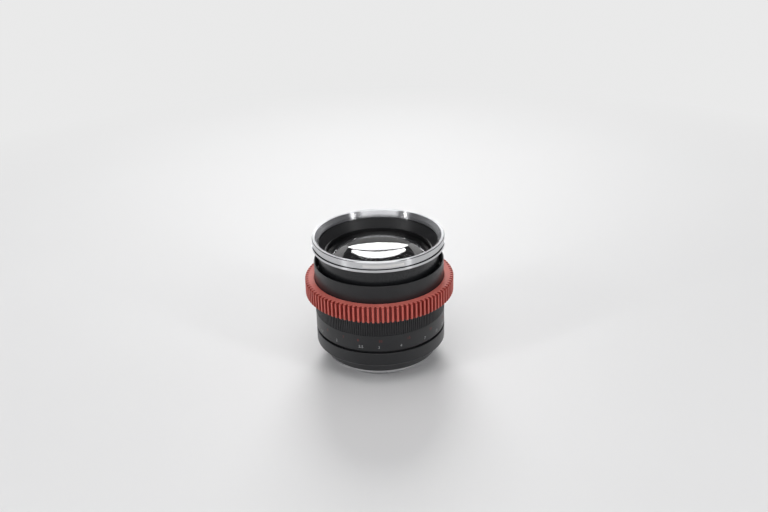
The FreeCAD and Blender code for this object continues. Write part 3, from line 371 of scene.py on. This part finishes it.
ANODISED = black_metal("black_anodised", (0.0125, 0.013, 0.0145), smooth=0.30, rough=0.40)
TUBE_BLACK = black_metal("tube_black", (0.0135, 0.0140, 0.0155), smooth=0.24, rough=0.34)
NAME_BLACK = black_metal("name_ring_black", (0.009, 0.009, 0.010), smooth=0.36, rough=0.48)
INNER_BLACK = inner_black()
CHROME = front_chrome()
MOUNT_CHROME = bright_metal("mount_chrome", (0.52, 0.52, 0.53), smooth=0.20, rough=0.30,
                            pitch=0.3 * MM, depth=0.008 * MM)
STEEL = bright_metal("steel", (0.55, 0.55, 0.56), smooth=0.22, rough=0.35,
                     pitch=0.2 * MM, depth=0.006 * MM)
BRASS = bright_metal("brass", (0.72, 0.52, 0.24), smooth=0.20, rough=0.32,
                     pitch=0.2 * MM, depth=0.006 * MM)
GOLD = plain("gold_contact", (0.86, 0.62, 0.26), smooth=0.12, rough=0.25, metallic=1.0)
RED = gear_plastic()
PLASTIC = plain("black_plastic", (0.018, 0.018, 0.019), smooth=0.42, rough=0.55)
BLADE = plain("blade_black", (0.02, 0.02, 0.023), smooth=0.30, rough=0.45, metallic=0.6)
BOARD = plain("board_green", (0.02, 0.13, 0.05), smooth=0.25, rough=0.4)
CHIP = plain("chip_black", (0.02, 0.02, 0.02), smooth=0.45, rough=0.6)
FLEX = plain("flex_amber", (0.50, 0.24, 0.05), smooth=0.25, rough=0.4)
FRONT_GLASS = front_glass()
INNER_GLASS = glass("inner_glass", tint=(0.99, 1.0, 0.99), index=1.04, mirrored=(0.4, 0.9, 0.6)).material
REAR_GLASS = glass("rear_glass", tint=(0.99, 1.0, 0.99), index=1.25, mirrored=(1.0, 0.8, 0.55)).material
MARK_WHITE = plain("mark_white", (0.36, 0.365, 0.37), smooth=0.45, rough=0.6, scale=4000.0)
MARK_RED = plain("mark_red", (0.15, 0.020, 0.017), smooth=0.45, rough=0.6, scale=4000.0)

FINISHES = [
    (CHROME, ["hood_mount_ring"]),
    (MOUNT_CHROME, ["bayonet_mount"]),
    (ANODISED, ["focus_ring", "base_ring", "rear_collar"]),
    (TUBE_BLACK, ["front_tube"]),
    (NAME_BLACK, ["name_ring", "front_retainer"]),
    (INNER_BLACK, ["helicoid_nut", "front_cell", "element_2_retainer", "spacer_2_3", "lens_barrel",
                   "rear_cell", "doublet_retainer", "rear_retainer", "iris_housing", "fixed_barrel",
                   "focus_retainer"]),
    (PLASTIC, ["rear_baffle", "contact_block"]),
    (RED, ["follow_focus_gear"]),
    (BRASS, ["guide_keys", "motor_pinion", "iris_bearing"]),
    (GOLD, ["contact_pins"]),
    (STEEL, ["mount_screws", "barrel_screws", "guide_key_screws", "focus_ring_screws", "focus_stop",
             "iris_motor", "iris_cam_ring"]),
    (BLADE, [f"iris_blade_{number}" for number in range(1, 10)]),
    (BOARD, ["circuit_board"]),
    (CHIP, ["board_chips"]),
    (FLEX, ["flex_print"]),
    (FRONT_GLASS, ["element_1"]),
    (INNER_GLASS, ["element_2", "element_3", "element_4", "element_5"]),
    (REAR_GLASS, ["element_6"]),
]


def dress_nodes():
    for material, names in FINISHES:
        for name in names:
            for slot in NODES[name].material_slots:
                slot.material = material


# Marks, filter thread, mount bead and flexible circuit

MARK_RADIUS = BARREL_RADIUS + 0.02 * MM
FAR_AWAY = 1e6
METRES_PER_FOOT = 0.3048


def add_object(name, data):
    made = bpy.data.objects.new(name, data)
    bpy.context.scene.collection.objects.link(made)
    return made


def mesh_of(name, points, faces):
    mesh = bpy.data.meshes.new(name)
    mesh.from_pydata(points, [], faces)
    return mesh


def mesh_piece(name, mesh, material, body, smooth=True):
    """A piece of the scene's own that rides on a body and takes the finish it is given."""
    piece = add_object(name, mesh)
    mesh.materials.clear()
    mesh.materials.append(material)
    for face in mesh.polygons:
        face.use_smooth = smooth
    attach(piece, body)
    return piece


def shape_piece(name, shape, material, body):
    """Makes a piece of a bmesh, which is used up."""
    mesh = bpy.data.meshes.new(name)
    shape.to_mesh(mesh)
    shape.free()
    mesh_piece(name, mesh, material, body)


def lettering(text, size):
    """The flat mesh of a short text, centred on the origin, as high as its size."""
    curve = bpy.data.curves.new("lettering", "FONT")
    curve.body = text
    curve.size = size
    curve.align_x = "CENTER"
    curve.align_y = "CENTER"
    curve.resolution_u = 4
    holder = add_object("lettering", curve)
    mesh = bpy.data.meshes.new_from_object(holder.evaluated_get(bpy.context.evaluated_depsgraph_get()))
    bpy.data.objects.remove(holder)
    bpy.data.curves.remove(curve)
    return mesh


def rectangle(name, width, height):
    """A flat mesh with its middle on the origin."""
    x, y = width / 2.0, height / 2.0
    return mesh_of(name, [(-x, -y, 0), (x, -y, 0), (x, y, 0), (-x, y, 0)], [(0, 1, 2, 3)])


def infinity_sign(width, line):
    """The sign for infinity, drawn as one closed ribbon of this width of line."""
    steps, plumpness = 48, 1.25
    middle = []
    for number in range(steps):
        turn = 2.0 * math.pi * number / steps
        reach = width / 2.0 / (1.0 + math.sin(turn) ** 2)
        across = reach * math.cos(turn)
        middle.append(Vector((across, plumpness * math.sin(turn) * across, 0)))
    points, faces = [], []
    for number, place in enumerate(middle):
        after = (number + 1) % steps
        along = middle[after] - middle[number - 1]
        side = Vector((-along.y, along.x, 0)).normalized() * line / 2.0
        points += [place + side, place - side]
        faces.append((2 * number, 2 * number + 1, 2 * after + 1, 2 * after))
    return mesh_of("infinity_sign", points, faces)


def on_barrel(shape, flat, azimuth, height):
    """Adds a flat mesh to the shape, cut into narrow slices and wrapped on the barrel at this place."""
    slice_width, tolerance = 0.4 * MM, 1e-8
    start = len(shape.verts)
    shape.from_mesh(flat)
    shape.verts.ensure_lookup_table()
    points = shape.verts[start:]
    faces = list({face for point in points for face in point.link_faces})
    edges = list({edge for face in faces for edge in face.edges})
    geometry = points + edges + faces
    reach = int(max(abs(point.co.x) for point in points) / slice_width)
    for number in range(-reach, reach + 1):
        cut = bmesh.ops.bisect_plane(shape, geom=geometry, plane_co=(number * slice_width, 0, 0),
                                     plane_no=(1, 0, 0), dist=tolerance)
        geometry = cut["geom"]
    for vertex in {item for item in geometry if isinstance(item, bmesh.types.BMVert)}:
        turn = math.radians(azimuth) + vertex.co.x / MARK_RADIUS
        x, y = MARK_RADIUS * math.sin(turn), -MARK_RADIUS * math.cos(turn)
        vertex.co = Vector((x, y, height + vertex.co.y))


def focus_azimuth(metres):
    """Where a distance stands on the focus ring when the lens is at its closest focus."""
    infinity_azimuth = 72.0
    turn_at_one_metre = 211.0
    principal_offset = 0.149
    return infinity_azimuth - turn_at_one_metre / (metres - principal_offset)


def distance_row(name, material, distances, unit, height, letter_size, sign_width, sign_line):
    """One row of distances, of which each unit is so many metres, with the infinity sign at its end."""
    row = bmesh.new()
    for text in distances:
        on_barrel(row, lettering(text, letter_size), focus_azimuth(float(text) * unit), height)
    on_barrel(row, infinity_sign(sign_width, sign_line), focus_azimuth(FAR_AWAY), height)
    shape_piece(name, row, material, "focus_group")


def distance_scale():
    """Metres low on the focus ring's plain band, and feet above them in dark red."""
    metres = ("1", "1.1", "1.2", "1.3", "1.5", "1.7", "2", "2.5", "3", "4", "7", "15")
    distance_row("distance_metres", MARK_WHITE, metres, unit=1.0, height=SCALE_BOTTOM + 2.8 * MM,
                 letter_size=2.5 * MM, sign_width=3.2 * MM, sign_line=0.35 * MM)
    feet = ("3.5", "4", "5", "6", "7", "8", "10", "15", "30")
    distance_row("distance_feet", MARK_RED, feet, unit=METRES_PER_FOOT, height=SCALE_BOTTOM + 6.8 * MM,
                 letter_size=2.3 * MM, sign_width=2.9 * MM, sign_line=0.3 * MM)


def depth_scale():
    """The index at the back of the lower ring, with the depth-of-field lines on both sides of it."""
    back, degrees_per_stop = 180.0, 1.178
    line_height = BASE_TOP - 1.5 * MM
    number_height = line_height - 2.7 * MM
    marks = bmesh.new()
    on_barrel(marks, rectangle("index", 0.5 * MM, 2.4 * MM), back, line_height)
    for stop in (4, 8, 11, 16):
        for side in (-1, 1):
            azimuth = back + side * stop * degrees_per_stop
            on_barrel(marks, rectangle("stop_line", 0.25 * MM, 1.6 * MM), azimuth, line_height)
            on_barrel(marks, lettering(str(stop), 2.3 * MM), azimuth, number_height)
    shape_piece("depth_scale", marks, MARK_WHITE, "mount_barrel")


def filter_thread():
    """The helical ridge inside the bright front ring, cut for a 72 mm filter."""
    pitch, depth = 0.75 * MM, 0.3 * MM
    wall = THREAD_RADIUS + 0.02 * MM
    bottom = FRONT - 4.15 * MM
    turns, steps_per_turn = 1.5, 160
    steps = int(turns * steps_per_turn)
    ridge = [(wall, 0.0), (wall - depth, 0.3), (wall - depth, 0.45), (wall, 0.75)]
    points, faces = [], []
    for number in range(steps + 1):
        turn = 2.0 * math.pi * number / steps_per_turn
        foot = bottom + pitch * number / steps_per_turn
        for radius, share in ridge:
            points.append((radius * math.cos(turn), radius * math.sin(turn), foot + share * pitch))
    size = len(ridge)
    for number in range(steps):
        for first in range(number * size, number * size + size - 1):
            faces.append((first, first + 1, first + size + 1, first + size))
    mesh = mesh_of("filter_thread", points, faces)
    mesh_piece("filter_thread", mesh, CHROME, "optics_group")


def mount_dot():
    """The round bead on the rear collar that is set against the camera's own when the lens goes on."""
    bead_radius, flatness = 1.1 * MM, 0.45
    height = COLLAR_TOP - 3.2 * MM
    shape = bmesh.new()
    bmesh.ops.create_uvsphere(shape, u_segments=24, v_segments=12, radius=bead_radius)
    for vertex in shape.verts:
        vertex.co.y = vertex.co.y * flatness + BEAD_SEAT_RADIUS
        vertex.co.z += height
    shape_piece("mount_dot", shape, MARK_WHITE, "mount_barrel")


def flex_strip():
    """The flexible circuit, as a copy of its CAD shape that rides on the mount barrel."""
    strip = NODES["flex_print"].data.copy()
    piece = mesh_piece("flex_strip", strip, FLEX, "mount_barrel", smooth=False)
    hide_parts("flex_print")
    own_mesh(piece)


# Floor, lamps and camera

def floor():
    """A pale floor. Far from the lens it is seen at its own colour, without the lamps' fall-off."""
    side, near, far = 6.0, 0.15, 0.60
    mesh = rectangle("floor", side, side)
    made = Shader("floor", Roughness=0.55, Specular_IOR_Level=0.2)
    patches = made.noise(scale=3.0, detail=2.0)
    made.paint(made.between(patches, (0.80, 0.80, 0.80), (0.83, 0.83, 0.83)))
    glow = made.node("Emission", Color=(0.82, 0.82, 0.82, 1.0), Strength=1.0)
    path = made.node("LightPath")
    seen = made.maths("MAXIMUM", path.outputs["Is Camera Ray"], path.outputs["Is Glossy Ray"])
    seen = made.maths("MAXIMUM", seen, path.outputs["Is Transmission Ray"])
    away = made.spread(made.distance_out(), near, far)
    mix = made.node("MixShader")
    made.join(made.maths("MULTIPLY", seen, away), mix.inputs[0])
    made.join(made.surface.outputs[0], mix.inputs[1])
    made.join(glow.outputs[0], mix.inputs[2])
    made.show(mix.outputs[0])
    mesh.materials.append(made.material)
    add_object("floor", mesh)


def towards(azimuth, elevation):
    """The direction of this azimuth and elevation."""
    turn, rise = math.radians(azimuth), math.radians(elevation)
    return Vector((math.sin(turn) * math.cos(rise), -math.cos(turn) * math.cos(rise), math.sin(rise)))


def lamp(name, target, size, radiance, azimuth, elevation, distance):
    """A rectangular softbox that faces the target and that the camera doesn't see."""
    data = bpy.data.lights.new(name, "AREA")
    data.shape = "RECTANGLE"
    data.size, data.size_y = size
    data.energy = radiance * math.pi * size[0] * size[1]
    away = towards(azimuth, elevation)
    piece = add_object(name, data)
    piece.location = target + away * distance
    piece.rotation_mode = "QUATERNION"
    piece.rotation_quaternion = (-away).to_track_quat("-Z", "Y")
    piece.visible_camera = False


def glowing_sheet(name, target, radiance, columns):
    """A curved sheet of light behind the lens. Each column is (degrees off the back, lowest, highest)."""
    back, distance = 180.0, 0.75
    points = [target + towards(back - off, rise) * distance for off, *rises in columns for rise in rises]
    faces = [(k, k + 1, k + 3, k + 2) for k in range(0, len(points) - 2, 2)]
    mesh = mesh_of(name, points, faces)
    made = Shader(name)
    made.show(made.node("Emission", Color=(1.0, 1.0, 1.0, 1.0), Strength=radiance).outputs[0])
    mesh.materials.append(made.material)
    piece = add_object(name, mesh)
    piece.visible_camera = False


def arch(share, power=2.0, root=0.5):
    """How high a round arch stands at this share of its half width, from one in its middle to nought."""
    return max(0.0, 1.0 - abs(share) ** power) ** root


def back_windows(target):
    """Two bright windows behind the lens, the upper one bent round the lower. Their sizes are in degrees."""
    steps = 20
    low_half_width, high_half_width, gap_half_width = 15.2, 17.5, 15.9
    sill, sill_drop = 25.6, 4.6
    arch_foot, low_arch, gap_arch = 25.0, 15.0, 17.2
    end_foot, end_slope = 29.0, 2.2
    high_arch_foot, high_arch = 34.8, 17.6
    lower, upper = [], []
    for number in range(-steps, steps + 1):
        share = number / steps
        off = low_half_width * share
        lower.append((off, sill - sill_drop * share * share, arch_foot + low_arch * arch(share)))
        off = high_half_width * share
        foot = arch_foot + gap_arch * arch(off / gap_half_width)
        if abs(off) >= low_half_width:
            foot = end_foot + end_slope * (abs(off) - low_half_width)
        upper.append((off, foot, high_arch_foot + high_arch * arch(share, power=2.3, root=0.45)))
    glowing_sheet("back_window_low", target, 8.5, lower)
    glowing_sheet("back_window_high", target, 10.5, upper)


def back_wall(target):
    """The dim grey wall under the windows, from a round foot up to their sill. Its sizes are in degrees."""
    sill, sill_drop, half_width = 25.5, 4.6, 15.2
    foot = [(0.0, 0.2), (2.2, 0.4), (4.5, 3.1), (6.4, 6.3), (9.2, 11.0), (12.2, 15.3), (15.0, 20.9)]
    foot = [(-off, rise) for off, rise in reversed(foot[1:])] + foot
    columns = [(off, rise, sill - sill_drop * (off / half_width) ** 2) for off, rise in foot]
    glowing_sheet("back_wall_grey", target, 0.5, columns)


def back_strips(target):
    """A dim slanted strip of light at each side of the windows. Its sizes are in degrees."""
    start, width, steps = 14.2, 12.6, 6
    foot, foot_slope = 15.5, 0.98
    top, top_slope = 23.0, 1.17
    columns = []
    for number in range(steps + 1):
        out = width * number / steps
        columns.append((start + out, foot + foot_slope * out, top + top_slope * out))
    glowing_sheet("back_strip_right", target, 1.2, columns)
    glowing_sheet("back_strip_left", target, 1.2, [(-off, *rises) for off, *rises in columns])


def world():
    """The room: bright in front up to 27 degrees, dim at the sides and the back, and a dim ceiling."""
    front, side, back = 0.80, 0.16, 0.25
    round_the_room = [(-180.0, back), (-158.0, back), (-146.0, side), (-66.0, side), (-61.0, front),
                      (51.0, front), (56.0, side), (146.0, side), (158.0, back), (180.0, back)]
    up_the_walls = [(0.0, 0.85), (18.0, 1.2), (21.0, 1.2), (27.0, 0.0)]
    ceiling = (0.12, 0.12, 0.125)
    room = bpy.data.worlds.new("studio")
    bpy.context.scene.world = room
    room.use_nodes = True
    room.node_tree.nodes.clear()
    made = Nodes(room.node_tree)

    def cool_grey(level):
        return level, level, level * 1.01

    split = made.node("SeparateXYZ")
    made.join(made.node("TexCoord").outputs["Generated"], split.inputs[0])
    x, y, z = split.outputs
    turn = made.maths("ARCTAN2", x, made.maths("MULTIPLY", y, -1.0))
    turn = made.maths("ADD", made.maths("DIVIDE", turn, 2.0 * math.pi), 0.5)
    by_azimuth = [(0.5 + azimuth / 360.0, cool_grey(level)) for azimuth, level in round_the_room]
    by_height = [(math.sin(math.radians(rise)), cool_grey(level)) for rise, level in up_the_walls]
    walls = made.mixed(1.0, made.colours(turn, by_azimuth), made.colours(z, by_height), "MULTIPLY")
    light = made.node("Background")
    made.join(made.mixed(1.0, walls, ceiling, "ADD"), light.inputs["Color"])
    made.join(light.outputs[0], made.node("OutputWorld").inputs["Surface"])


def lamps():
    """The lights behind that the front glass mirrors, two softboxes above, and a strip at each side."""
    glass_top = Vector((0, 0, LENS_TOP))
    back_windows(glass_top)
    back_wall(glass_top)
    back_strips(glass_top)
    lamp("top_softbox", glass_top, size=(0.55, 0.55), radiance=1.2,
         azimuth=180.0, elevation=84.0, distance=0.85)
    lamp("front_softbox", glass_top, size=(0.90, 0.50), radiance=2.0,
         azimuth=-5.0, elevation=68.0, distance=0.95)
    for name, azimuth in (("left_strip", -58.0), ("right_strip", 50.5)):
        lamp(name, glass_top, size=(0.010, 0.52), radiance=75.0,
             azimuth=azimuth, elevation=20.0, distance=0.80)


def camera():
    """Stands where the photograph was taken from. The picture is 768 by 512 pixels."""
    picture = Vector((768.0, 512.0))
    focal_pixels = 1013.1
    aim_pixel = Vector((380.32, 310.54))
    aim_point = Vector((0.0, 0.0, 0.030))
    distance, elevation, lean = 0.620, 28.30, 1.77
    data = bpy.data.cameras.new("camera")
    data.sensor_width = 36.0
    data.lens = focal_pixels * data.sensor_width / picture.x
    data.clip_start, data.clip_end = 0.01, 20.0
    away = towards(0.0, elevation)
    level = (-away).to_track_quat("-Z", "Y")
    rolled = level @ Quaternion((0, 0, 1), math.radians(-lean))
    offset = (aim_pixel - picture / 2.0) / focal_pixels
    sight = Vector((offset.x, -offset.y, -1.0)).normalized()
    piece = add_object("camera", data)
    piece.location = aim_point + away * distance
    piece.rotation_mode = "QUATERNION"
    piece.rotation_quaternion = rolled @ sight.rotation_difference(Vector((0, 0, -1)))
    bpy.context.scene.camera = piece


# Making it all

dress_nodes()
distance_scale()
depth_scale()
filter_thread()
mount_dot()
flex_strip()
floor()
world()
lamps()
camera()
bpy.context.scene.view_settings.view_transform = "Standard"
